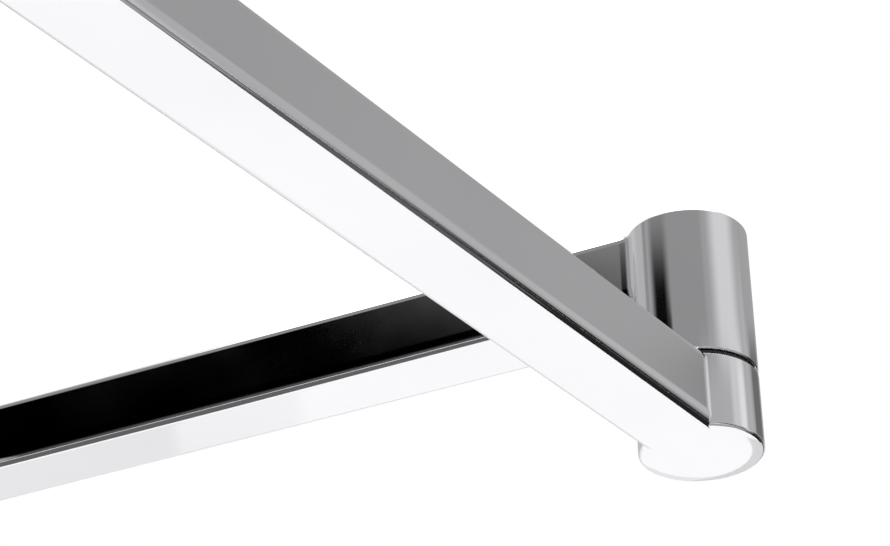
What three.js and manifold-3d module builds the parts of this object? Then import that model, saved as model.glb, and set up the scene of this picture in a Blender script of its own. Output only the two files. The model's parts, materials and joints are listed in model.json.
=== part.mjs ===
// Valet stand: a weighted round base, a round post and a folding two-link arm of square bar that
// carries a jacket yoke. Each link has a tall bearing knuckle at one end and a low pin knuckle at the
// other, so the next link always turns one bar's height above the last and they fold over each other.
// Millimetres, +Z up. The origin is on the floor, on the axis of the post.
import * as THREE from "three";
import { mergeVertices } from "three/addons/utils/BufferGeometryUtils.js";
import Module from "manifold-3d";

const wasm = await Module();
wasm.setup();

// ---- Driving dimensions ----
const BAR = 20; // side of the square bar
const BAR_EDGE = 2.2; // radius of the bar's polished edges
const KNUCKLE_R = 15.5; // knuckles and post
const KNUCKLE_EDGE = 0.5; // chamfer on a knuckle's rims
const FLARE_R = 7; // hollow corner where a bar flows into its bearing knuckle
const SHADOW_GAP = 1.5; // gap between two knuckles, which the thrust washer fills
const WASHER_SETBACK = 0.8; // how far the thrust washer stays inside the knuckles
const LINK_LENGTH = 340; // from pivot to pivot
const ELBOW_ANGLE = 81.3; // degrees between the two links as the stand is set up
const LOWER_BAR_Z = 950; // underside of the lower link's bar
const BASE_R = 200;
const BASE_PLATE_H = 15;
const FELT_H = 2;
const YOKE_HALF_SPAN = 215;

// ---- Sizes that follow ----
const BEARING_H = 2 * BAR; // bearing knuckle, whose top is flush with its bar
const LINK_STEP = BAR + SHADOW_GAP; // from the top of one bar to the underside of the next bearing and bar
const SHOULDER_Z = LOWER_BAR_Z - BAR; // underside of the lower link's bearing knuckle
const POST_TOP_Z = SHOULDER_Z - SHADOW_GAP;
const ELBOW_Z = LOWER_BAR_Z + LINK_STEP; // underside of the upper link's bearing knuckle
const UPPER_BAR_TOP_Z = ELBOW_Z + BEARING_H;
const BASE_TOP_Z = FELT_H + BASE_PLATE_H;

// ---- Running gear inside a bearing knuckle; heights are from the knuckle's underside ----
const FIT = 0.15; // clearance between parts that slide or turn
const PIN_R = 6;
const PIN_DEPTH = 14; // pressed into the knuckle below
const PIN_TOP = 31;
const BUSH_R = 8;
const BUSH_FLANGE_R = 11.5;
const COUNTERBORE_R = 12.2;
const COUNTERBORE_FLOOR = 29;
const CAP_H = 3.4;
const SCREW_R = 3;

const ROUND = 56; // facets round a knuckle
const SMALL_ROUND = 32; // facets round a small part

// ---- Materials ----
const finish = (color, metalness, roughness) => new THREE.MeshStandardMaterial({ color, metalness, roughness });
const CHROME = finish(0xc4c5c8, 1, 0.06);
const STEEL = finish(0x8f9194, 1, 0.35);
const POLYMER = finish(0x111112, 0, 0.55);
const FELT = finish(0x1c1c1d, 0, 0.95);

// ---- Solids ----
// A three.js geometry as a manifold-3d solid.
function solid(geometry) {
  const bare = (geometry.index ? geometry.toNonIndexed() : geometry.clone());
  bare.deleteAttribute("normal");
  bare.deleteAttribute("uv");
  const merged = mergeVertices(bare, 1e-4);
  const corners = merged.index.array;
  const triangles = [];
  for (let i = 0; i < corners.length; i += 3) {
    const [a, b, c] = [corners[i], corners[i + 1], corners[i + 2]];
    if (a !== b && b !== c && c !== a) triangles.push(a, b, c);
  }
  return new wasm.Manifold(new wasm.Mesh({
    numProp: 3,
    vertProperties: merged.attributes.position.array,
    triVerts: new Uint32Array(triangles),
  }));
}

// A manifold-3d solid as a three.js geometry.
function geometryOf(body) {
  const { vertProperties, triVerts, numProp, numVert } = body.getMesh();
  const points = new Float32Array(numVert * 3);
  for (let i = 0; i < numVert; i++) points.set(vertProperties.subarray(i * numProp, i * numProp + 3), i * 3);
  const geometry = new THREE.BufferGeometry();
  geometry.setAttribute("position", new THREE.BufferAttribute(points, 3));
  geometry.setIndex(new THREE.BufferAttribute(triVerts, 1));
  geometry.computeVertexNormals();
  return geometry;
}

function part(name, body, material) {
  const mesh = new THREE.Mesh(geometryOf(body), material);
  mesh.name = name;
  return mesh;
}

// A solid turned about Z. The profile is [radius, height] pairs that run anticlockwise round the section.
function turned(profile, facets = SMALL_ROUND) {
  const closed = [...profile, profile[0]].map(([r, z]) => new THREE.Vector2(r, z));
  return solid(new THREE.LatheGeometry(closed, facets).rotateX(Math.PI / 2));
}

// A disc or a cylinder with equal chamfers on both rims.
function disc(radius, bottom, top, chamfer = 0, facets = SMALL_ROUND) {
  if (chamfer === 0) return turned([[0, bottom], [radius, bottom], [radius, top], [0, top]], facets);
  return turned([
    [0, bottom], [radius - chamfer, bottom], [radius, bottom + chamfer],
    [radius, top - chamfer], [radius - chamfer, top], [0, top],
  ], facets);
}

function ring(inner, outer, bottom, top, facets = SMALL_ROUND) {
  return turned([[inner, bottom], [outer, bottom], [outer, top], [inner, top]], facets);
}

// A flat outline given thickness, with its two long edges rounded. It stands on z = 0.
function roundedPlate(shape, thickness, edge) {
  return solid(new THREE.ExtrudeGeometry(shape, {
    depth: thickness - 2 * edge,
    bevelThickness: edge,
    bevelSize: edge,
    bevelOffset: -edge,
    bevelSegments: 3,
    curveSegments: 6,
  }).translate(0, 0, edge));
}

// ---- The link, used twice ----
// The plan of a bar from its bearing knuckle at x = 0 to its pin knuckle at x = LINK_LENGTH.
// At the bearing end the sides flare out on hollow corners until they lie along the knuckle's own circle.
function barPlan() {
  const half = BAR / 2;
  const cornerY = half + FLARE_R;
  const cornerX = Math.sqrt((KNUCKLE_R + FLARE_R) ** 2 - cornerY ** 2);
  const touch = Math.atan2(cornerY, cornerX); // where the hollow corner meets the knuckle
  const insideX = KNUCKLE_R * Math.cos(touch);
  const insideY = KNUCKLE_R * Math.sin(touch);
  const plan = new THREE.Shape();
  plan.moveTo(0, -insideY);
  plan.lineTo(insideX, -insideY);
  plan.absarc(cornerX, -cornerY, FLARE_R, Math.PI - touch, Math.PI / 2, true);
  plan.lineTo(LINK_LENGTH, -half);
  plan.lineTo(LINK_LENGTH, half);
  plan.lineTo(cornerX, half);
  plan.absarc(cornerX, cornerY, FLARE_R, -Math.PI / 2, -Math.PI + touch, true);
  plan.lineTo(0, insideY);
  return plan;
}

// The link stands with the underside of its bearing knuckle on z = 0; its bar is the upper half.
function link() {
  const bar = roundedPlate(barPlan(), BAR, BAR_EDGE).translate([0, 0, BAR]);
  const bearing = disc(KNUCKLE_R, 0, BEARING_H, KNUCKLE_EDGE, ROUND);
  const pinKnuckle = disc(KNUCKLE_R, BAR, BEARING_H, KNUCKLE_EDGE, ROUND).translate([LINK_LENGTH, 0, 0]);
  const bore = disc(BUSH_R + FIT, -1, BEARING_H + 1);
  const counterbore = disc(COUNTERBORE_R, COUNTERBORE_FLOOR, BEARING_H + 1);
  const pinSeat = disc(PIN_R + FIT, BEARING_H - PIN_DEPTH, BEARING_H + 1).translate([LINK_LENGTH, 0, 0]);
  return bar.add(bearing).add(pinKnuckle).subtract(bore).subtract(counterbore).subtract(pinSeat);
}

// ---- One pivot ----
// What turns with the link above: two bushes and the cap that closes the counterbore.
function turningGear(name) {
  const lowerBush = ring(PIN_R + FIT, BUSH_R, 0.2, 14);
  const upperBush = turned([
    [PIN_R + FIT, 15], [BUSH_R, 15], [BUSH_R, COUNTERBORE_FLOOR + 0.1],
    [BUSH_FLANGE_R, COUNTERBORE_FLOOR + 0.1], [BUSH_FLANGE_R, COUNTERBORE_FLOOR + 1.3],
    [PIN_R + FIT, COUNTERBORE_FLOOR + 1.3],
  ]);
  const cap = disc(COUNTERBORE_R - 0.2, BEARING_H - CAP_H, BEARING_H, 0.4);
  return [
    part(name + "_lower_bush", lowerBush, POLYMER),
    part(name + "_upper_bush", upperBush, POLYMER),
    part(name + "_cap", cap, CHROME),
  ];
}

// What stays with the knuckle below: the pin, the thrust washer in the gap and the retaining stack.
function standingGear(name) {
  const seat = -SHADOW_GAP - PIN_DEPTH + 0.1;
  const pin = turned([
    [0, seat], [PIN_R - 0.6, seat], [PIN_R, seat + 0.6], [PIN_R, PIN_TOP - 0.6],
    [PIN_R - 0.6, PIN_TOP], [SCREW_R + FIT, PIN_TOP], [SCREW_R + FIT, PIN_TOP - 14], [0, PIN_TOP - 14],
  ]);
  const thrustWasher = ring(PIN_R + 0.3, KNUCKLE_R - WASHER_SETBACK, -SHADOW_GAP + 0.1, -0.1);
  const springWasher = ring(PIN_R + 0.4, 10.5, COUNTERBORE_FLOOR + 1.4, COUNTERBORE_FLOOR + 2.2);
  const retainingWasher = ring(SCREW_R + 0.2, 11.2, COUNTERBORE_FLOOR + 2.3, COUNTERBORE_FLOOR + 3.8);
  const headFoot = COUNTERBORE_FLOOR + 3.9;
  const headTop = headFoot + 3.1;
  const screw = turned([
    [0, headFoot - 14], [SCREW_R, headFoot - 14], [SCREW_R, headFoot], [5, headFoot], [5, headTop - 0.4],
    [4.6, headTop], [0, headTop],
  ]).subtract(solid(new THREE.CylinderGeometry(2.3, 2.3, 4, 6).rotateX(Math.PI / 2)).translate([0, 0, headTop]));
  return [
    part(name + "_pin", pin, STEEL),
    part(name + "_thrust_washer", thrustWasher, POLYMER),
    part(name + "_spring_washer", springWasher, STEEL),
    part(name + "_retaining_washer", retainingWasher, STEEL),
    part(name + "_retaining_screw", screw, STEEL),
  ];
}

// ---- Base and post ----
const TUBE_WALL = 2;
const PLUG_R = KNUCKLE_R - TUBE_WALL - 0.2;
const HEAD_FLANGE_H = 3;
const FOOT_H = 32;
const BOLT_R = 5;
const COLLAR_R = 30;
const COLLAR_H = 7;

function basePlate() {
  const edge = 3;
  const steps = 5;
  const rim = [];
  for (let i = 0; i <= steps; i++) {
    const a = (Math.PI / 2) * (i / steps);
    rim.push([BASE_R - edge + edge * Math.cos(a), BASE_TOP_Z - edge + edge * Math.sin(a)]);
  }
  return turned([
    [BOLT_R + 0.5, FELT_H + 9], [13, FELT_H + 9], [13, FELT_H], [BASE_R - 1, FELT_H], [BASE_R, FELT_H + 1],
    ...rim, [BOLT_R + 0.5, BASE_TOP_Z],
  ], 96);
}

function baseBolt() {
  const headTop = FELT_H + 7.2;
  return turned([
    [0, FELT_H + 0.6], [4, FELT_H + 0.6], [8, FELT_H + 0.6], [8, headTop], [BOLT_R, headTop],
    [BOLT_R, BASE_TOP_Z + 20], [0, BASE_TOP_Z + 20],
  ]);
}

function postFoot() {
  const bottom = BASE_TOP_Z + 0.1;
  return ring(BOLT_R + FIT, PLUG_R, bottom, bottom + FOOT_H);
}

function postCollar() {
  const bottom = BASE_TOP_Z + 0.1;
  const top = bottom + COLLAR_H;
  return turned([
    [KNUCKLE_R + 0.1, bottom], [COLLAR_R, bottom], [COLLAR_R, bottom + 2], [COLLAR_R - 1.5, bottom + 3.5],
    [KNUCKLE_R + 5, top - 0.5], [KNUCKLE_R + 4, top], [KNUCKLE_R + 0.1, top],
  ], ROUND);
}

function postHead() {
  const flangeBottom = POST_TOP_Z - HEAD_FLANGE_H + 0.1;
  return turned([
    [0, POST_TOP_Z - 30], [PLUG_R, POST_TOP_Z - 30], [PLUG_R, flangeBottom], [KNUCKLE_R, flangeBottom],
    [KNUCKLE_R, POST_TOP_Z - KNUCKLE_EDGE], [KNUCKLE_R - KNUCKLE_EDGE, POST_TOP_Z], [PIN_R + FIT, POST_TOP_Z],
    [PIN_R + FIT, POST_TOP_Z - PIN_DEPTH], [0, POST_TOP_Z - PIN_DEPTH],
  ], ROUND);
}

// ---- Jacket yoke ----
const STEM_R = 8;
const STEM_SOCKET_DEPTH = 12;
const SET_SCREW_R = 1.5;
const SET_SCREW_DEPTH = 7; // below the top of the upper link; its point runs in the stem's groove
const YOKE_CENTRE_Z = 85; // the yoke bar's centre line, above the top of the upper link
const YOKE_NECK_R = 90; // bend over the stem
const YOKE_SLOPE = 17; // degrees below level along the shoulder
const YOKE_TIP_SLOPE = 36; // degrees below level at the tip
const YOKE_TIP_R = 150; // bend towards the tip

// The yoke bar's centre line from the stem out to one tip, as {x, z, slope} stations: a bend over the stem,
// a straight shoulder and a second bend towards the tip.
function yokeStations() {
  const slope = THREE.MathUtils.degToRad(YOKE_SLOPE);
  const tipSlope = THREE.MathUtils.degToRad(YOKE_TIP_SLOPE);
  const bend = (start, from, to, radius, count) => {
    const stations = [];
    for (let i = 1; i <= count; i++) {
      const a = from + ((to - from) * i) / count;
      stations.push({
        x: start.x + radius * (Math.sin(a) - Math.sin(from)),
        z: start.z - radius * (Math.cos(from) - Math.cos(a)),
        slope: a,
      });
    }
    return stations;
  };
  const centre = { x: 0, z: 0, slope: 0 };
  const neck = bend(centre, 0, slope, YOKE_NECK_R, 4);
  const neckEnd = neck[neck.length - 1];
  const tipRun = YOKE_TIP_R * (Math.sin(tipSlope) - Math.sin(slope));
  const tipCap = (BAR / 2) * Math.cos(tipSlope);
  const straight = (YOKE_HALF_SPAN - tipCap - tipRun - neckEnd.x) / Math.cos(slope);
  const shoulder = {
    x: neckEnd.x + straight * Math.cos(slope),
    z: neckEnd.z - straight * Math.sin(slope),
    slope,
  };
  return [centre, ...neck, shoulder, ...bend(shoulder, slope, tipSlope, YOKE_TIP_R, 5)];
}

// The yoke seen from the front, in x and height: the centre line thickened to the bar, with round tips.
function yokeShape() {
  const half = BAR / 2;
  const stations = yokeStations();
  const upper = stations.map(({ x, z, slope }) => new THREE.Vector2(x + half * Math.sin(slope), z + half * Math.cos(slope)));
  const lower = stations.map(({ x, z, slope }) => new THREE.Vector2(x - half * Math.sin(slope), z - half * Math.cos(slope)));
  const tip = stations[stations.length - 1];
  const round = [];
  const steps = 8;
  for (let i = 1; i < steps; i++) {
    const a = Math.PI / 2 - tip.slope - (Math.PI * i) / steps;
    round.push(new THREE.Vector2(tip.x + half * Math.cos(a), tip.z + half * Math.sin(a)));
  }
  const right = [...upper, ...round, ...lower.reverse()];
  const left = right.slice(1, -1).reverse().map((p) => new THREE.Vector2(-p.x, p.y));
  return new THREE.Shape([...right, ...left].reverse());
}

function hangerYoke() {
  const plate = roundedPlate(yokeShape(), BAR, BAR_EDGE).translate([0, 0, -BAR / 2]).rotate([90, 0, 0]);
  const socket = disc(STEM_R - 2 + FIT, -BAR, 2);
  return plate.translate([0, 0, YOKE_CENTRE_Z]).subtract(socket.translate([0, 0, YOKE_CENTRE_Z]));
}

// A solid made on the Z axis, laid out along the radius that points away from the link's bar.
const radial = (body) => body.rotate([90, 0, 0]).translate([0, 0, -SET_SCREW_DEPTH]);
const setScrewBore = () => radial(disc(SET_SCREW_R + FIT, 3, KNUCKLE_R + 2, 0, 16));

// The stem turns in the upper link's pin seat and stands on its collar. Heights are from the link's top.
function hangerStem() {
  const foot = -STEM_SOCKET_DEPTH;
  const collarBottom = SHADOW_GAP;
  const collarTop = collarBottom + 12;
  const yokeUnderside = YOKE_CENTRE_Z - BAR / 2;
  const groove = -SET_SCREW_DEPTH;
  const r = PIN_R - 1.2;
  return turned([
    [0, foot], [r, foot], [r, groove - 1.8], [r - 1.3, groove - 1.8], [r - 1.3, groove + 1.8], [r, groove + 1.8],
    [r, collarBottom], [KNUCKLE_R - KNUCKLE_EDGE, collarBottom], [KNUCKLE_R, collarBottom + KNUCKLE_EDGE],
    [KNUCKLE_R, collarTop - 5], [KNUCKLE_R - 1.5, collarTop - 1.5], [STEM_R + 3, collarTop + 1.5],
    [STEM_R + 1, collarTop + 4], [STEM_R, collarTop + 9], [STEM_R, yokeUnderside - 0.8],
    [STEM_R - 2, yokeUnderside - 0.8], [STEM_R - 2, YOKE_CENTRE_Z + 1.5], [0, YOKE_CENTRE_Z + 1.5],
  ], ROUND);
}

// ---- Assembly ----
const stand = new THREE.Group();
stand.add(
  part("base_felt", disc(BASE_R - 4, 0, FELT_H - 0.1, 0, 64), FELT),
  part("base_plate", basePlate(), CHROME),
  part("base_bolt", baseBolt(), STEEL),
  part("base_washer", ring(BOLT_R + 0.2, 10, FELT_H + 7.3, FELT_H + 8.8), STEEL),
  part("post_foot", postFoot(), STEEL),
  part("post_collar", postCollar(), CHROME),
  part("post_tube", ring(KNUCKLE_R - TUBE_WALL, KNUCKLE_R, BASE_TOP_Z + 0.1, POST_TOP_Z - HEAD_FLANGE_H, ROUND), CHROME),
  part("post_head", postHead(), CHROME),
);

const shoulder = new THREE.Group();
shoulder.position.z = SHOULDER_Z;
shoulder.add(...standingGear("shoulder"), ...turningGear("shoulder"), part("lower_link", link(), CHROME));

// At the elbow the upper link turns back from the lower one by the elbow angle.
const elbow = new THREE.Group();
elbow.position.set(LINK_LENGTH, 0, ELBOW_Z);
elbow.rotation.z = THREE.MathUtils.degToRad(180 - ELBOW_ANGLE);
const stemBore = setScrewBore().rotate([0, 0, 90]).translate([LINK_LENGTH, 0, BEARING_H]);
const upperLink = link().subtract(stemBore);
elbow.add(...standingGear("elbow"), ...turningGear("elbow"), part("upper_link", upperLink, CHROME));

const hanger = new THREE.Group();
hanger.position.set(LINK_LENGTH, 0, BEARING_H);
hanger.rotation.z = Math.PI / 2;
const socketBush = ring(PIN_R - 1.2 + FIT, PIN_R, -PIN_DEPTH + 1, -0.2);
const setScrew = disc(SET_SCREW_R, 3.9, KNUCKLE_R - 0.6, 0.3, 16);
hanger.add(
  part("hanger_socket_bush", socketBush.subtract(setScrewBore()), POLYMER),
  part("hanger_set_screw", radial(setScrew), STEEL),
  part("hanger_thrust_washer", ring(PIN_R - 0.8, KNUCKLE_R - WASHER_SETBACK, 0.1, SHADOW_GAP - 0.1), POLYMER),
  part("hanger_stem", hangerStem(), CHROME),
  part("hanger_yoke", hangerYoke(), CHROME),
);
elbow.add(hanger);

const valetStand = new THREE.Group();
valetStand.add(stand, shoulder, elbow);
export default valetStand;
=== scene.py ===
"""A free-standing chrome valet stand, seen from below at the elbow of its two-link arm."""
import json
import math

import bmesh
import bpy
from mathutils import Matrix, Vector


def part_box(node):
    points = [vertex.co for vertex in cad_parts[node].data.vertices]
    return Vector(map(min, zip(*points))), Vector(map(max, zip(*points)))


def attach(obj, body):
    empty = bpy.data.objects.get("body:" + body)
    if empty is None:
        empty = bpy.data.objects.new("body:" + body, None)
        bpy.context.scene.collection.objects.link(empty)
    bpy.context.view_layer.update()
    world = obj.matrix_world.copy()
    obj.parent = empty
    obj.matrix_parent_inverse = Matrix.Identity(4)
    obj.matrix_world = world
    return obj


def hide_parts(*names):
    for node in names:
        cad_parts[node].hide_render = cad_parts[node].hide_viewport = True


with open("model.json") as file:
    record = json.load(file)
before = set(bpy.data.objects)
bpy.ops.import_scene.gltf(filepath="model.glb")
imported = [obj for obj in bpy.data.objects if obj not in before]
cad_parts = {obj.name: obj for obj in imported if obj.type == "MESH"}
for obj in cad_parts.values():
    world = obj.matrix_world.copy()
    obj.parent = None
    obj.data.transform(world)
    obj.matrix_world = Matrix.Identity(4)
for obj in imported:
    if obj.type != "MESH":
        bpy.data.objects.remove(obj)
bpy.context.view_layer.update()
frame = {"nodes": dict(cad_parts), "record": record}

# ---- Sizes in millimetres, as in the CAD frame ----
MM = 0.001
BAR = 20.0
KNUCKLE_R = 15.5
BEARING_H = 2 * BAR
FLARE_R = 7.0
SHADOW_GAP = 1.5
WASHER_SETBACK = 0.8
COUNTERBORE_R = 12.2
COUNTERBORE_DEPTH = 11.0
COUNTERBORE_LIP = 0.3  # half the height of the bevel round its mouth
CAP_H = 3.4
STEM_R = 8.0
TUBE_WALL = 2.0
PRESS_GAP = 0.2  # between a cap or plug and the hollow that it closes
PIN_SOCKET_R = 6.2
PIN_SOCKET_DEPTH = 14
WASHER_GAP = 0.1
PIN_WASHER_BORE_R = 6.3
STEM_WASHER_BORE_R = 5.2
QUARTER_TURN = [math.radians(d) for d in range(0, 91, 6)]

LOWER = [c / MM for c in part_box("lower_link")[0]], [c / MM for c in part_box("lower_link")[1]]
LINK_LENGTH = LOWER[1][0] - LOWER[0][0] - 2 * KNUCKLE_R
SHOULDER_Z = LOWER[0][2]
ELBOW_Z = LOWER[1][2] + SHADOW_GAP
ELBOW_ANGLE = math.radians(81.3)
UPPER_TURN = math.pi - ELBOW_ANGLE

# ---- Placing in the CAD frame, for pieces made round their own origin in millimetres ----
AT_POST = Matrix.Identity(4)
AT_SHOULDER = Matrix.Translation((0, 0, SHOULDER_Z))
AT_ELBOW = Matrix.Translation((LINK_LENGTH, 0, ELBOW_Z)) @ Matrix.Rotation(UPPER_TURN, 4, "Z")
AT_HANGER = (AT_ELBOW @ Matrix.Translation((LINK_LENGTH, 0, BEARING_H))
             @ Matrix.Rotation(math.pi / 2, 4, "Z"))


# ---- Profiles ----
def soft_corner(edge, roll, roll_angle, steps=10, roll_steps=4, end_roll_angle=None):
    """A polished corner as (inset from the side face, inset from the end face) points, side face first.
    Between its two faces it turns on radius edge, and beside each face on the far larger radius roll,
    through roll_angle beside the side face and end_roll_angle beside the end face."""
    end_roll_angle = roll_angle if end_roll_angle is None else end_roll_angle
    stops = [0, roll_angle, math.pi / 2 - end_roll_angle, math.pi / 2]
    spans = zip(stops, stops[1:], (roll, edge, roll), (roll_steps, steps, roll_steps))
    along, away = [0.0], [0.0]
    for start, end, radius, count in spans:
        for i in range(1, count + 1):
            a, b = (start + (end - start) * k / count for k in (i - 1, i))
            away.append(away[-1] + radius * (math.cos(a) - math.cos(b)))
            along.append(along[-1] + radius * (math.sin(b) - math.sin(a)))
    size = along[-1]
    return [(x, size - y) for x, y in zip(away, along)]


BAR_CORNER = soft_corner(edge=1.6, roll=14.0, roll_angle=math.radians(12), roll_steps=10,
                         end_roll_angle=math.radians(4))
RIM_CORNER = soft_corner(edge=0.8, roll=28.0, roll_angle=math.radians(1), roll_steps=10,
                         end_roll_angle=math.radians(7))
FINE_CORNER = soft_corner(edge=0.3, roll=1.5, roll_angle=math.radians(4), steps=6, roll_steps=2)
TOP_CORNER = soft_corner(edge=1.4, roll=8.0, roll_angle=math.radians(6), roll_steps=6)
CRISP_CORNER = soft_corner(edge=0.12, roll=0.5, roll_angle=math.radians(4), steps=4, roll_steps=1)
PLATE_TOP_CORNER = soft_corner(edge=3.0, roll=40.0, roll_angle=math.radians(3))
PLATE_FOOT_CORNER = soft_corner(edge=0.8, roll=3.0, roll_angle=math.radians(5))
CHAMFER_CORNER = [(0, 0.36), (0.02, 0.3), (0.06, 0.24), (0.24, 0.06), (0.3, 0.02), (0.36, 0)]


def drum_profile(radius, bottom, top, corner_low, corner_high):
    """Half section of a drum as (radius, height), from its lower centre to its upper centre."""
    low = [(radius - x, bottom + y) for x, y in reversed(corner_low)]
    high = [(radius - x, top - y) for x, y in corner_high]
    return [(0, bottom)] + low + high + [(0, top)]


def rounded_profile(points, radius, steps=5):
    """The same (radius, height) outline with each inner corner turned on an arc."""
    out = [points[0]]
    for before, here, after in zip(points, points[1:], points[2:]):
        p, a, b = Vector(here), Vector(before), Vector(after)
        reach = min(radius, (a - p).length * 0.45, (b - p).length * 0.45)
        start, end = p + (a - p).normalized() * reach, p + (b - p).normalized() * reach
        for i in range(steps + 1):
            t = i / steps
            out.append(tuple(start * (1 - t) ** 2 + p * 2 * t * (1 - t) + end * t ** 2))
    return out + [points[-1]]


# ---- Mesh building ----
def add_object(name, data):
    obj = bpy.data.objects.new(name, data)
    bpy.context.scene.collection.objects.link(obj)
    return obj


def mesh_from(name, verts, faces):
    mesh = bpy.data.meshes.new(name)
    mesh.from_pydata(verts, [], faces)
    bm = bmesh.new()
    bm.from_mesh(mesh)
    bmesh.ops.remove_doubles(bm, verts=bm.verts, dist=1e-4)
    bmesh.ops.recalc_face_normals(bm, faces=bm.faces)
    bm.to_mesh(mesh)
    bm.free()
    return add_object(name, mesh)


def quads_between(rings, count):
    """Quads from each ring of count points to the next ring."""
    quads = []
    for i in range(rings - 1):
        for k in range(count):
            n = (k + 1) % count
            quads.append([i * count + k, i * count + n, (i + 1) * count + n, (i + 1) * count + k])
    return quads


def turned(name, profile, facets=192, closed=False):
    """A profile of (radius, height) points turned about Z. A closed one makes a ring."""
    loop = list(profile) + ([profile[0]] if closed else [])
    verts = [(r * math.cos(2 * math.pi * k / facets), r * math.sin(2 * math.pi * k / facets), z)
             for r, z in loop for k in range(facets)]
    obj = mesh_from(name, verts, quads_between(len(loop), facets))
    drop_slivers(obj)
    return obj


def drop_slivers(obj):
    """Faces whose corners met on the axis become triangles, or go."""
    bm = bmesh.new()
    bm.from_mesh(obj.data)
    bmesh.ops.dissolve_degenerate(bm, dist=1e-5, edges=bm.edges)
    bm.to_mesh(obj.data)
    bm.free()


def soft_plate(name, outline, thickness, corner, top_corner=None):
    """A flat outline of (point, outward normal) pairs given thickness, with polished long edges."""
    levels = corner[::-1] + [(x, thickness - y) for x, y in top_corner or corner]
    count = len(outline)
    verts = [(*(point - normal * inset), z) for inset, z in levels for point, normal in outline]
    ends = [list(range(count))[::-1], [(len(levels) - 1) * count + k for k in range(count)]]
    return mesh_from(name, verts, ends + quads_between(len(levels), count))


def combine(target, tool, operation):
    """Joins another solid to target or cuts it away, and deletes that solid."""
    modifier = target.modifiers.new(operation, "BOOLEAN")
    modifier.operation, modifier.solver, modifier.object = operation, "EXACT", tool
    bake_modifiers(target)
    bpy.data.objects.remove(tool)


def bake_modifiers(obj):
    """Replaces the mesh by what its modifiers make of it."""
    evaluated = obj.evaluated_get(bpy.context.evaluated_depsgraph_get())
    mesh = bpy.data.meshes.new_from_object(evaluated)
    obj.modifiers.clear()
    obj.data = mesh


CREASE_ANGLE = math.radians(24)


def finish_piece(obj, place, body, node, slot):
    """Shades a piece, puts it in its place in the CAD frame and hands it over."""
    obj.data.materials.clear()
    obj.data.materials.append(BY_SLOT[slot])
    obj.data.shade_smooth()
    obj.data.set_sharp_from_angle(angle=CREASE_ANGLE)
    obj.data.transform(Matrix.Scale(MM, 4) @ place)
    weighted = obj.modifiers.new("weighted_normals", "WEIGHTED_NORMAL")
    weighted.keep_sharp, weighted.weight = True, 80
    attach(obj, body)
    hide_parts(node)


def turned_piece(name, profile, body, slot, facets=192, closed=False, place=AT_POST):
    finish_piece(turned(name, profile, facets, closed), place, body, name, slot)


# ---- Materials ----
def new_material(name):
    material = bpy.data.materials.new(name)
    material.use_nodes = True
    nodes, links = material.node_tree.nodes, material.node_tree.links
    shader = nodes["Principled BSDF"]
    coordinates = nodes.new("ShaderNodeTexCoord").outputs["Object"]
    return material, nodes, links, shader, coordinates


def noise_node(nodes, links, vector, scale, detail=3.0, stretch=None):
    if stretch is not None:
        mapping = nodes.new("ShaderNodeMapping")
        mapping.inputs["Scale"].default_value = stretch
        links.new(vector, mapping.inputs["Vector"])
        vector = mapping.outputs["Vector"]
    noise = nodes.new("ShaderNodeTexNoise")
    noise.inputs["Scale"].default_value = scale
    noise.inputs["Detail"].default_value = detail
    links.new(vector, noise.inputs["Vector"])
    return noise.outputs["Fac"]


def ramp_node(nodes, links, value, low, high, start=0.3, end=0.7):
    ramp = nodes.new("ShaderNodeValToRGB")
    for element, position, colour in zip(ramp.color_ramp.elements, (start, end), (low, high)):
        element.position = position
        element.color = (*colour, 1) if isinstance(colour, tuple) else (colour, colour, colour, 1)
    links.new(value, ramp.inputs["Fac"])
    return ramp.outputs["Color"]


def bump_node(nodes, links, shader, height, strength, distance):
    bump = nodes.new("ShaderNodeBump")
    bump.inputs["Strength"].default_value = strength
    bump.inputs["Distance"].default_value = distance
    links.new(height, bump.inputs["Height"])
    links.new(bump.outputs["Normal"], shader.inputs["Normal"])


def chrome_material():
    """Bright plate: a faint cloudiness from polishing and an almost level surface."""
    material, nodes, links, shader, where = new_material("chrome")
    shader.inputs["Metallic"].default_value = 1.0
    cloud = noise_node(nodes, links, where, 18, 4)
    links.new(ramp_node(nodes, links, cloud, (0.837, 0.837, 0.857), (0.866, 0.866, 0.886)),
              shader.inputs["Base Color"])
    haze = noise_node(nodes, links, where, 45, 6)
    links.new(ramp_node(nodes, links, haze, 0.04, 0.08), shader.inputs["Roughness"])
    swell = noise_node(nodes, links, where, 60, 1)
    bump_node(nodes, links, shader, swell, 0.05, 0.00008)
    return material


def steel_material():
    material, nodes, links, shader, where = new_material("steel")
    shader.inputs["Metallic"].default_value = 1.0
    tone = noise_node(nodes, links, where, 90, 4)
    links.new(ramp_node(nodes, links, tone, (0.42, 0.43, 0.44), (0.6, 0.61, 0.62)),
              shader.inputs["Base Color"])
    turning = noise_node(nodes, links, where, 900, 2, (1, 1, 12))
    links.new(ramp_node(nodes, links, turning, 0.25, 0.45), shader.inputs["Roughness"])
    bump_node(nodes, links, shader, turning, 0.2, 0.0001)
    return material


def polymer_material():
    material, nodes, links, shader, where = new_material("polymer")
    grain = noise_node(nodes, links, where, 700, 4)
    links.new(ramp_node(nodes, links, grain, (0.016, 0.016, 0.017), (0.03, 0.03, 0.031)),
              shader.inputs["Base Color"])
    links.new(ramp_node(nodes, links, grain, 0.38, 0.55), shader.inputs["Roughness"])
    bump_node(nodes, links, shader, grain, 0.15, 0.00005)
    return material


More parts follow.
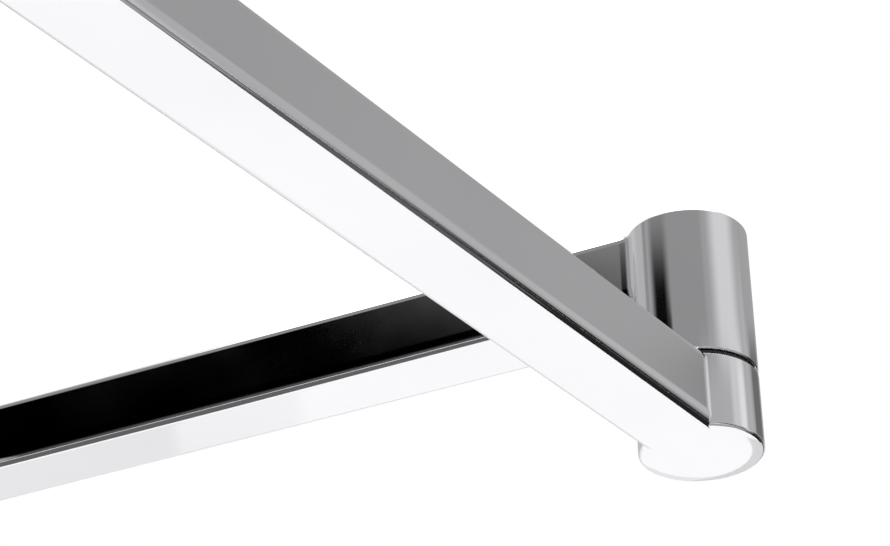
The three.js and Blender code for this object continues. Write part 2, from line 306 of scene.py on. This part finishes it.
def felt_material():
    material, nodes, links, shader, where = new_material("felt")
    shader.inputs["Sheen Weight"].default_value = 0.4
    fibre = noise_node(nodes, links, where, 1400, 6)
    links.new(ramp_node(nodes, links, fibre, (0.008, 0.008, 0.009), (0.035, 0.035, 0.037)),
              shader.inputs["Base Color"])
    links.new(ramp_node(nodes, links, fibre, 0.85, 1.0), shader.inputs["Roughness"])
    bump_node(nodes, links, shader, fibre, 0.8, 0.0004)
    return material


BY_SLOT = {"chrome": chrome_material(), "steel": steel_material(), "polymer": polymer_material(),
           "felt": felt_material()}


# ---- The link ----
def arc(centre, radius, start, end, steps, hollow=False):
    """Points and outward normals along an arc; a hollow one bends round a centre outside the metal."""
    pairs = []
    for i in range(steps + 1):
        a = start + (end - start) * i / steps
        spoke = Vector((math.cos(a), math.sin(a)))
        pairs.append((Vector(centre) + spoke * radius, -spoke if hollow else spoke))
    return pairs


def bar_outline():
    """The bar seen from above, from its bearing knuckle at x = 0 to its pin knuckle."""
    half = BAR / 2
    corner_y = half + FLARE_R
    corner_x = math.sqrt((KNUCKLE_R + FLARE_R) ** 2 - corner_y ** 2)
    touch = math.atan2(corner_y, corner_x)
    low = arc((corner_x, -corner_y), FLARE_R, math.pi - touch, math.pi / 2, 24, hollow=True)
    high = arc((corner_x, corner_y), FLARE_R, -math.pi / 2, -math.pi + touch, 24, hollow=True)
    end = [(Vector((LINK_LENGTH, side * half)), Vector((0, side))) for side in (-1, 1)]
    inside = KNUCKLE_R * math.sin(touch) - 1
    start = [(Vector((0, inside)), Vector((0, 1))), (Vector((0, -inside)), Vector((0, -1)))]
    return low + end + high + start


def link(name, place, body, cap_name):
    """A bar with its two knuckles, and the cap in its counterbore. The CAD link also has a through bore
    for its pin and a seat for the next pin. Neither is cut here."""
    obj = soft_plate(name, bar_outline(), BAR, BAR_CORNER, TOP_CORNER)
    obj.data.transform(Matrix.Translation((0, 0, BAR)))
    bearing = turned("bearing", drum_profile(KNUCKLE_R, 0, BEARING_H, CHAMFER_CORNER, FINE_CORNER))
    pin_section = drum_profile(KNUCKLE_R, BAR, BEARING_H, RIM_CORNER, CRISP_CORNER)
    pin_knuckle = turned("pin_knuckle", pin_section)
    pin_knuckle.data.transform(Matrix.Translation((LINK_LENGTH, 0, 0)))
    floor, mouth = BEARING_H - COUNTERBORE_DEPTH, BEARING_H + COUNTERBORE_LIP
    bore_section = [(0, floor), (COUNTERBORE_R, floor), (COUNTERBORE_R, BEARING_H - COUNTERBORE_LIP),
                    (COUNTERBORE_R + 2 * COUNTERBORE_LIP, mouth), (0, mouth)]
    bore = turned("bore", bore_section, 96)
    combine(obj, bearing, "UNION")
    combine(obj, pin_knuckle, "UNION")
    combine(obj, bore, "DIFFERENCE")
    finish_piece(obj, place, body, name, "chrome")
    cap_r = COUNTERBORE_R - PRESS_GAP
    section = drum_profile(cap_r, BEARING_H - CAP_H, BEARING_H, FINE_CORNER, FINE_CORNER)
    turned_piece(cap_name, section, body, "chrome", place=place)


def thrust_washer(name, place, body, bottom, top, inner):
    outer = KNUCKLE_R - WASHER_SETBACK
    section = rounded_profile([(inner, bottom), (outer, bottom), (outer, top), (inner, top)], 0.3)
    turned_piece(name, section, body, "polymer", 128, closed=True, place=place)


# ---- Base and post ----
HEAD_FLANGE_H = 2.9
HEAD_BEVEL = 0.2


def node_box(node):
    low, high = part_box(node)
    return [c / MM for c in low], [c / MM for c in high]


def base_and_post():
    low, high = node_box("base_plate")
    radius, bottom, top = high[0], low[2], high[2]
    section = drum_profile(radius, bottom, top, PLATE_FOOT_CORNER, PLATE_TOP_CORNER)
    turned_piece("base_plate", section, "stand", "chrome", 256)
    low, high = node_box("base_felt")
    section = drum_profile(high[0], low[2], high[2], FINE_CORNER, FINE_CORNER)
    turned_piece("base_felt", section, "stand", "felt", 256)
    low, high = node_box("post_tube")
    bore = KNUCKLE_R - TUBE_WALL
    section = [(bore, low[2]), (KNUCKLE_R, low[2]), (KNUCKLE_R, high[2]), (bore, high[2])]
    turned_piece("post_tube", rounded_profile(section, 0.2), "stand", "chrome", closed=True)
    post_collar()
    post_head()


def post_collar():
    low, high = node_box("post_collar")
    radius, bottom, top = high[0], low[2], high[2]
    inner = KNUCKLE_R + 0.1
    reach, rise = radius - KNUCKLE_R - 5, top - bottom - 2.6
    sweep = [(KNUCKLE_R + 4.2 + reach * (1 - math.cos(a)), top - 0.3 - rise * math.sin(a))
             for a in QUARTER_TURN]
    foot = [(inner, bottom), (radius, bottom), (radius, bottom + 2)]
    section = rounded_profile(foot + sweep[::-1] + [(inner + 1, top), (inner, top)], 0.4, 3)
    turned_piece("post_collar", section, "stand", "chrome", closed=True)


def post_head():
    low, high = node_box("post_head")
    plug, flange = KNUCKLE_R - TUBE_WALL - PRESS_GAP, high[2] - HEAD_FLANGE_H
    low_part = [(0, low[2]), (plug, low[2]), (plug, flange), (KNUCKLE_R - HEAD_BEVEL, flange)]
    rim = [(KNUCKLE_R, flange + HEAD_BEVEL)] + [(KNUCKLE_R - x, high[2] - y) for x, y in RIM_CORNER]
    floor = high[2] - PIN_SOCKET_DEPTH
    socket = [(PIN_SOCKET_R, high[2]), (PIN_SOCKET_R, floor), (0, floor)]
    turned_piece("post_head", low_part + rim + socket, "stand", "chrome")


# ---- Hanger ----
YOKE_CENTRE_Z = 85.0
YOKE_NECK_R = 90.0
YOKE_TIP_R = 150.0
YOKE_HALF_SPAN = 215.0
YOKE_SLOPE = math.radians(17)
YOKE_TIP_SLOPE = math.radians(36)
STEM_COLLAR_H = 12
STEM_COLLAR_BEVEL = 1.5
STEM_NECK_FLARE, STEM_NECK_H = 7, 9


def yoke_stations():
    """The yoke's centre line from the stem to one tip, as (x, height, slope) stations."""
    def bend(start, slope_to, radius, count):
        x, z, slope_from = start
        for i in range(1, count + 1):
            a = slope_from + (slope_to - slope_from) * i / count
            yield (x + radius * (math.sin(a) - math.sin(slope_from)),
                   z - radius * (math.cos(slope_from) - math.cos(a)), a)
    stations = [(0.0, 0.0, 0.0)]
    stations += bend(stations[-1], YOKE_SLOPE, YOKE_NECK_R, 16)
    x, z, slope = stations[-1]
    tip_run = YOKE_TIP_R * (math.sin(YOKE_TIP_SLOPE) - math.sin(YOKE_SLOPE))
    run = YOKE_HALF_SPAN - BAR / 2 * math.cos(YOKE_TIP_SLOPE) - tip_run - x
    stations.append((x + run, z - run * math.tan(slope), slope))
    stations += bend(stations[-1], YOKE_TIP_SLOPE, YOKE_TIP_R, 20)
    return stations


def yoke_outline():
    """The yoke seen from the side, as points and outward normals."""
    half = BAR / 2
    stations = yoke_stations()
    upper = [(Vector((x + half * math.sin(s), z + half * math.cos(s))),
              Vector((math.sin(s), math.cos(s)))) for x, z, s in stations]
    lower = [(Vector((x - half * math.sin(s), z - half * math.cos(s))),
              Vector((-math.sin(s), -math.cos(s)))) for x, z, s in stations]
    x, z, slope = stations[-1]
    tip = arc((x, z), half, math.pi / 2 - slope, -math.pi / 2 - slope, 32)[1:-1]
    right = upper + tip + lower[::-1]
    left = [(Vector((-p.x, p.y)), Vector((-n.x, n.y))) for p, n in right[1:-1]][::-1]
    return right + left


def hanger():
    """The yoke and its stem, which starts at its collar: the CAD stem's peg below that is not made."""
    stand_up = Matrix.Rotation(math.pi / 2, 4, "X") @ Matrix.Translation((0, 0, -BAR / 2))
    yoke = soft_plate("hanger_yoke", yoke_outline(), BAR, BAR_CORNER)
    yoke.data.transform(Matrix.Translation((0, 0, YOKE_CENTRE_Z)) @ stand_up)
    finish_piece(yoke, AT_HANGER, "hanger", "hanger_yoke", "chrome")
    collar_top = SHADOW_GAP + STEM_COLLAR_H
    shoulder = YOKE_CENTRE_Z - BAR / 2 - PRESS_GAP
    neck = [(STEM_R + STEM_NECK_FLARE * (1 - math.sin(a)),
             collar_top + STEM_NECK_H - STEM_NECK_H * math.cos(a)) for a in QUARTER_TURN]
    rim = [(KNUCKLE_R - x, SHADOW_GAP + y) for x, y in reversed(RIM_CORNER)]
    collar = [(0, SHADOW_GAP)] + rim + [(KNUCKLE_R, collar_top - STEM_COLLAR_BEVEL)]
    section = collar + neck + [(STEM_R, shoulder), (0, shoulder)]
    turned_piece("hanger_stem", section, "hanger", "chrome", place=AT_HANGER)


# ---- Studio ----
ELBOW = Vector((LINK_LENGTH, 0, SHOULDER_Z + BAR)) * MM  # on its axis, level with the lower bar
LOOK_AZIMUTH = math.radians(34.93)
LOOK_PITCH = math.radians(30.773)
LOOK_ROLL = math.radians(-1.006)
FORWARD = Vector((math.cos(LOOK_AZIMUTH), math.sin(LOOK_AZIMUTH), 0))
RIGHT = Vector((FORWARD.y, -FORWARD.x, 0))
CAMERA_BACK, CAMERA_LEFT, CAMERA_DOWN = 0.57615, 0.06216, 0.28991


def camera():
    data = bpy.data.cameras.new("camera")
    data.lens, data.sensor_width = 106.2, 36
    data.clip_start, data.clip_end = 0.01, 100
    obj = add_object("camera", data)
    obj.location = ELBOW - FORWARD * CAMERA_BACK - RIGHT * CAMERA_LEFT - Vector((0, 0, CAMERA_DOWN))
    level = Matrix.Rotation(LOOK_AZIMUTH - math.pi / 2, 4, "Z")
    tilt = Matrix.Rotation(math.pi / 2 + LOOK_PITCH, 4, "X")
    obj.rotation_euler = (level @ tilt @ Matrix.Rotation(LOOK_ROLL, 4, "Z")).to_euler()
    bpy.context.scene.camera = obj


def matte(name, colour):
    material, nodes, links, shader, where = new_material(name)
    shade = noise_node(nodes, links, where, 3)
    links.new(ramp_node(nodes, links, shade, colour * 0.98, colour), shader.inputs["Base Color"])
    shader.inputs["Roughness"].default_value = 0.9
    shader.inputs["Specular IOR Level"].default_value = 0.1
    return material


def plane(name, width, height, place, material):
    mesh = bpy.data.meshes.new(name)
    w, h = width / 2, height / 2
    mesh.from_pydata([(-w, -h, 0), (w, -h, 0), (w, h, 0), (-w, h, 0)], [], [(0, 1, 2, 3)])
    mesh.materials.append(material)
    obj = add_object(name, mesh)
    obj.matrix_world = place
    return obj


# Walls, soft boxes and flags of the studio, as seen from the stand. Each is (name, bearing from, to,
# height from, to, softness of its sides, of its ends, radiance). Bearings are in degrees, anticlockwise
# from the camera's right, and heights in degrees above the horizon. A later one hangs in front of an
# earlier one.
ROOM_LIGHT = 0.46
OVERHEAD_WATTS = 20
OVERHEAD_HEIGHT = 5.0
OVERHEAD_SIZE = 5.0
OVERHEAD_FORWARD, OVERHEAD_RIGHT = 1.6, 0.5  # metres from over the elbow
PANELS = [
    ("backdrop", 45, 135, -25, 22, 10, 6, 0.92),
    ("front_left_wall", 100, 160, -10, 60, 8, 6, 0.72),
    ("left_wall", 150, 173, -10, 60, 8, 6, 0.62),
    ("left_far_wall", 172, 182, -10, 60, 6, 6, 0.37),
    ("right_wall", -14, 20, 4, 31, 8, 4, 0.60),
    ("right_room_wall", 18, 75, 29, 60, 8, 2, 0.485),
    ("right_far_wall", 17, 70, 4, 26.5, 6, 3, 0.64),
    ("right_upper_wall", -16, 6, 20, 60, 10, 6, 0.54),
    ("right_low_flag", 8, 46, -3, 16, 10, 10, 0.01),
    ("right_softbox", -50, -5, 12, 75, 26, 6, 0.88),
    ("right_dark_card", 27, 60, 25.5, 28.9, 6, 1.2, 0.20),
    ("back_wall", -142, -68, -10, 75, 8, 6, 0.385),
    ("low_wall", -84, -28, 6, 28.6, 6, 1, 0.57),
    ("low_softbox", -30, 0, 6, 28.6, 14, 1, 0.80),
    ("low_softbox_core", -14, 0, 6, 28.6, 10, 1, 1.05),
    ("low_flag", -62, -8, -3, 19, 14, 6, 0.02),
    ("left_upper_wall", -170, -136, 20, 60, 12, 4, 0.36),
    ("left_flag", -169, -138, -12, 31.2, 16, 1.6, 0.0),
    ("left_flag_wing", -165, -134, -12, 29.7, 5, 1.0, 0.0),
    ("left_low_wall", -176, -128, -12, 11, 10, 5, 0.11),
    ("ceiling", -190, 190, 62, 95, 4, 6, 4.3),
]


def studio_world():
    world = bpy.data.worlds.new("studio")
    bpy.context.scene.world = world
    world.use_nodes = True
    nodes, links = world.node_tree.nodes, world.node_tree.links
    nodes.clear()

    def math_node(operation, a, b=0.0):
        node = nodes.new("ShaderNodeMath")
        node.operation = operation
        for socket, value in zip(node.inputs, (a, b)):
            if isinstance(value, (int, float)):
                socket.default_value = value
            else:
                links.new(value, socket)
        return node.outputs[0]

    def soft_step(value, low, high, soft):
        def edge(at, sign):
            node = nodes.new("ShaderNodeMapRange")
            node.interpolation_type = "SMOOTHSTEP"
            links.new(value, node.inputs["Value"])
            node.inputs["From Min"].default_value = at - sign * soft / 2
            node.inputs["From Max"].default_value = at + sign * soft / 2
            return node.outputs["Result"]
        return math_node("MULTIPLY", edge(low, 1), edge(high, -1))

    mapping = nodes.new("ShaderNodeMapping")
    mapping.inputs["Rotation"].default_value = (0, 0, math.pi / 2 - LOOK_AZIMUTH)
    links.new(nodes.new("ShaderNodeTexCoord").outputs["Generated"], mapping.inputs["Vector"])
    split = nodes.new("ShaderNodeSeparateXYZ")
    links.new(mapping.outputs["Vector"], split.inputs[0])
    degrees = 180 / math.pi
    turn = math_node("ARCTAN2", split.outputs["Y"], split.outputs["X"])
    bearing = math_node("MULTIPLY", turn, degrees)
    height = math_node("MULTIPLY", math_node("ARCSINE", split.outputs["Z"]), degrees)
    total = None
    for name, left, right, low, high, side_softness, end_softness, radiance in PANELS:
        mask = math_node("MULTIPLY", soft_step(bearing, left, right, side_softness),
                         soft_step(height, low, high, end_softness))
        mix = nodes.new("ShaderNodeMix")
        mix.label = name
        links.new(mask, mix.inputs["Factor"])
        if total is None:
            mix.inputs["A"].default_value = ROOM_LIGHT
        else:
            links.new(total, mix.inputs["A"])
        mix.inputs["B"].default_value = radiance
        total = mix.outputs["Result"]
    studio = nodes.new("ShaderNodeBackground")
    links.new(total, studio.inputs["Strength"])
    backdrop = nodes.new("ShaderNodeBackground")
    backdrop.inputs["Color"].default_value = (1, 1, 1, 1)
    backdrop.inputs["Strength"].default_value = 1.0
    choose = nodes.new("ShaderNodeMixShader")
    links.new(nodes.new("ShaderNodeLightPath").outputs["Is Camera Ray"], choose.inputs["Fac"])
    links.new(studio.outputs[0], choose.inputs[1])
    links.new(backdrop.outputs[0], choose.inputs[2])
    links.new(choose.outputs[0], nodes.new("ShaderNodeOutputWorld").inputs["Surface"])


# Sheets over the floor, seen only in reflections: painted shade and painted light on the floor as the
# chrome reflects it, darker or lighter than the floor that the camera sees. Each is (name, from left,
# to right, from near, to far, shade), in metres from under the elbow as the camera faces. The first,
# lighter than the floor, is painted light and lies under the others; the darker ones over it are
# painted shade.
FLOOR_SPAN = 60.0
FLOOR_SHADE = 0.80
PAINTED_FLOOR_REFLECTIONS = [
    ("painted_light_floor_sheet", -FLOOR_SPAN / 2, FLOOR_SPAN / 2, -FLOOR_SPAN / 2, FLOOR_SPAN / 2, 0.98),
    ("right_near_painted_shade_sheet", 0.56, 9.0, 0.18, 0.56, 0.10),
    ("right_painted_shade_sheet", 0.56, 9.0, 0.56, 1.5, 0.01),
    ("right_floor_sheet", 1.36, 9.0, -3.4, 0.18, 0.24),
    ("right_mid_floor_sheet", 0.32, 1.3, 1.5, 9.0, 0.68),
    ("right_far_floor_sheet", 1.3, 29.0, 1.5, 9.0, 0.03),
    ("far_floor_sheet", -9.0, 0.30, 2.4, 9.0, 0.80),
    ("left_far_floor_sheet", -9.0, -0.36, 1.5, 2.4, 0.82),
    ("left_mid_floor_sheet", -0.36, -0.22, 1.5, 2.4, 0.91),
    ("left_floor_sheet", -9.0, -0.48, -5.0, 0.55, 0.12),
    ("camera_floor_sheet", 0.04, 1.36, -5.0, 0.18, 0.36),
]
PAINTED_SHEET_HEIGHT = 0.001


# Lays the painted shade and painted light sheets that only the chrome's reflections show.
def paint_floor_reflections():
    turn = Matrix.Rotation(LOOK_AZIMUTH - math.pi / 2, 4, "Z")
    for name, left, right, near, far, shade in PAINTED_FLOOR_REFLECTIONS:
        centre = ELBOW + RIGHT * (left + right) / 2 + FORWARD * (near + far) / 2
        centre.z = PAINTED_SHEET_HEIGHT if right - left < FLOOR_SPAN else PAINTED_SHEET_HEIGHT / 2
        place = Matrix.Translation(centre) @ turn
        sheet = plane(name, right - left, far - near, place, matte(name, shade))
        # Painted reflections: each sheet is hidden from the camera, from diffuse light and from
        # shadows, so it only paints shade or light into reflections of the floor.
        sheet.visible_camera = sheet.visible_diffuse = sheet.visible_shadow = False


def overhead_light():
    data = bpy.data.lights.new("overhead", "AREA")
    data.shape, data.size, data.energy = "DISK", OVERHEAD_SIZE, OVERHEAD_WATTS
    obj = add_object("overhead", data)
    obj.location = ELBOW + FORWARD * OVERHEAD_FORWARD + RIGHT * OVERHEAD_RIGHT
    obj.location.z = OVERHEAD_HEIGHT
    obj.visible_camera = obj.visible_glossy = False


def studio():
    plane("floor", FLOOR_SPAN, FLOOR_SPAN, Matrix.Identity(4), matte("floor", FLOOR_SHADE))
    # Painted shade and painted light on the floor, seen only in reflections.
    paint_floor_reflections()
    overhead_light()
    studio_world()
    camera()
    scene = bpy.context.scene
    scene.view_settings.view_transform = "Standard"
    scene.view_settings.look = "None"
    scene.view_settings.exposure, scene.view_settings.gamma = 0, 1


# ---- Assembly ----
for node, obj in frame["nodes"].items():
    slot = next(s["material_slot"] for s in frame["record"]["subparts"] if s["node"] == node)
    obj.data.materials.clear()
    obj.data.materials.append(BY_SLOT[slot])

base_and_post()
link("lower_link", AT_SHOULDER, "lower_arm", "shoulder_cap")
link("upper_link", AT_ELBOW, "upper_arm", "elbow_cap")
below = -SHADOW_GAP + WASHER_GAP, -WASHER_GAP, PIN_WASHER_BORE_R
above = WASHER_GAP, SHADOW_GAP - WASHER_GAP, STEM_WASHER_BORE_R
thrust_washer("shoulder_thrust_washer", AT_SHOULDER, "stand", *below)
thrust_washer("elbow_thrust_washer", AT_ELBOW, "lower_arm", *below)
thrust_washer("hanger_thrust_washer", AT_HANGER, "upper_arm", *above)
hanger()
studio()
